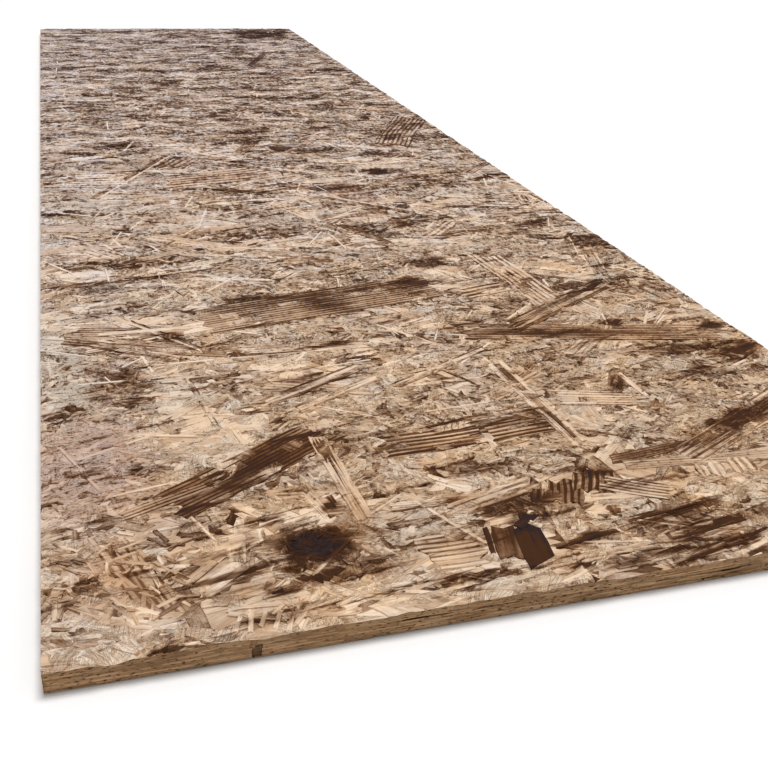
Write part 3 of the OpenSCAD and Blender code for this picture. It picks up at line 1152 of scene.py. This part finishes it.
def raw_material():
    """The underside: golden tan strands, with painted shade in the small gaps between them."""
    g = Graph(bpy.data.materials.new("raw_underside"))
    grain = g.attribute("grain")
    a, c, seed = grain
    half_width, wall, _ = g.attribute("form")
    tone, _, _ = g.attribute("look")
    color, fibres, _ = wood_tone(
        g, grain, tone * 0.7 + 0.2, 0.4,
        ((0.33, 0.19, 0.095), (0.46, 0.29, 0.15), (0.58, 0.40, 0.23), (0.66, 0.49, 0.30)))
    edge = (half_width - c.size()).ease(0.9, 0.1) * g.noise(
        g.join(a * 0.05, seed), detail=1.0).ease(0.4, 0.6)
    specks = g.noise(g.place(), 0.25, 3.0, 0.6).ease(0.66, 0.75)
    # painted shade along the strands' edges and on their steep sides, and dark specks
    color = g.mix((edge * 0.5 + wall * 0.7).most(specks * 0.6), color, (0.16, 0.085, 0.04))
    rough = fibres.ease(0.3, 0.7, 0.55, 0.7)
    return g.finish(color, rough, fibres * 0.6 - specks * 0.4, 0.2)


def sawn_material():
    """The sawn sides: ochre-brown ends of strands, with painted shade in the gaps between the
    layers.
    """
    g = Graph(bpy.data.materials.new("sawn_edge"))
    a, c, seed = g.attribute("grain")
    _, wall, _ = g.attribute("form")
    tone, char, _ = g.attribute("look")
    x, y, z = g.split(g.place(upward=1.0))
    along = x + y
    ragged = x.ease(-150, 50, 0.6, 1.7)  # the near side is rougher right of its middle
    layer = (g.noise(g.join(along * 0.035, z * 0.8), detail=3.0, rough=0.6) - 0.5) * ragged
    patch = g.noise(g.join(along * 0.03, z * 0.15), detail=3.0)
    uneven = g.noise(g.join(along * 0.012, 0.5), detail=1.0).ease(0.45, 0.6, 0.5, 1.0)
    color, fibres, _ = wood_tone(
        g, (a * 0.6, c * 1.5, seed), tone * 0.3 + 0.42 + layer * 1.1, 0.5,
        ((0.21, 0.10, 0.043), (0.46, 0.255, 0.125), (0.66, 0.40, 0.21), (0.90, 0.62, 0.39)))
    # painted shade in the pits between the layers and on the steep sides of strands' ends; char and
    # patches darken the wood itself
    pit = g.noise(g.join(along * 0.3, z * 0.9), detail=2.0).ease(0.55, 0.68) * uneven
    dark = (char * 0.8 + wall * 0.3 + pit * 0.75).most(patch.ease(0.45, 0.7) * 0.65)
    color = g.mix(dark, color, (0.10, 0.055, 0.028))
    rough = fibres.ease(0.3, 0.7, 0.75, 0.9)
    return g.finish(color, rough, layer * 0.6 + fibres * 0.4 - pit * 0.5, 0.4)


def floor_material():
    """A pale matt floor, which shows a touch paler to the camera, so that it ends in white."""
    g = Graph(bpy.data.materials.new("pale_floor"))
    color = g.mix(g.in_view(), (0.80, 0.80, 0.80), (1.0, 1.0, 1.0))
    g.link(color, g.shader.inputs["Base Color"])
    g.shader.inputs["Roughness"].default_value = 1.0
    g.shader.inputs["Specular IOR Level"].default_value = 0.0
    return g.owner


# ---------------------------- camera, light and floor

# The camera's place: in from the left edge, before the near end, and above the charred face
CAMERA_IN, CAMERA_BEFORE, CAMERA_ABOVE = 39, 463, 365
CAMERA_TURN = (65.0, -2.2, -17.94)
FLOOR_REACH = 30  # metres to each side
SKY_LEVEL = 0.45
SUN_ENERGY = 1.95
SUN_TURN = (18, 0, 150)
SUN_WIDTH = 25  # degrees of the sky


def radians(turn):
    return [math.radians(angle) for angle in turn]


def add_to_scene(name, data):
    thing = bpy.data.objects.new(name, data)
    bpy.context.scene.collection.objects.link(thing)
    return thing


def make_camera():
    """The photograph's camera, low over the near left corner. It looks along the board."""
    data = bpy.data.cameras.new("camera")
    camera = add_to_scene("camera", data)
    place = (LEFT + CAMERA_IN, NEAR - CAMERA_BEFORE, THICK + CAMERA_ABOVE)
    camera.location = [value * MM for value in place]
    camera.rotation_euler = radians(CAMERA_TURN)
    data.sensor_width = 36
    data.lens = 50.8
    data.shift_x = -0.059
    data.clip_start = 0.01
    bpy.context.scene.camera = camera


def make_floor():
    mesh = bpy.data.meshes.new("floor")
    square = rectangle(-FLOOR_REACH, -FLOOR_REACH, FLOOR_REACH, FLOOR_REACH)
    mesh.from_pydata([(x, y, 0) for x, y in square], [], [(0, 1, 2, 3)])
    mesh.materials.append(floor_material())
    add_to_scene("floor", mesh)


def make_light():
    """An even pale sky, and one wide soft lamp nearly overhead, a little to the far right."""
    world = bpy.data.worlds.new("sky")
    bpy.context.scene.world = world
    g = Graph(world, "Background")
    g.shader.inputs["Color"].default_value = (1, 1, 1, 1)
    g.link(g.in_view().ease(0.0, 1.0, SKY_LEVEL, 1.0), g.shader.inputs["Strength"])
    lamp = bpy.data.lights.new("key", "SUN")
    lamp.energy = SUN_ENERGY
    lamp.angle = math.radians(SUN_WIDTH)
    add_to_scene("key", lamp).rotation_euler = radians(SUN_TURN)


# ---------------------------- building it all

def lip_line(axis, value):
    """The lowest line that the worn top of a side can have, as (s, z) points."""
    run = 1 - axis
    s = np.arange(LOW[run], HIGH[run], 2.0)
    points = np.insert(s[:, None], axis, value, axis=1)
    return np.column_stack([s, THICK - arris_wear(points) - BASE_DEPTH])


def dark_nick(strands):
    """A dark nick that runs down the near side to its lower arris."""
    strands.lay(LEFT + 108, 4.6, 8, 5, 82, 0.9, tone=0.0, char=1.0)
    strands.lay(LEFT + 106, 9.5, 5, 3, 75, 0.4, tone=0.2, char=0.6)


def build():
    laid = {"charred": charred_strands(), "raw": raw_strands(), "bare": Strands()}
    piles = {name: Pile(strands) for name, strands in laid.items()}
    ends = {}
    for axis in (0, 1):
        for value in (LOW[axis], HIGH[axis]):
            run = 1 - axis
            strands = strand_ends(LOW[run], HIGH[run], lip_line(axis, value))
            if (axis, value) == (1, NEAR):
                dark_nick(strands)
            ends[axis, value] = Pile(strands)
    materials = [charred_material(), raw_material(), sawn_material()]
    for column, row, box in tile_boxes():
        make_tile(f"board_{row}_{column}", box, STAIN_GAPS[row], piles, ends, materials)


make_camera()
make_floor()
make_light()
build()
bpy.context.scene.view_settings.view_transform = "Standard"
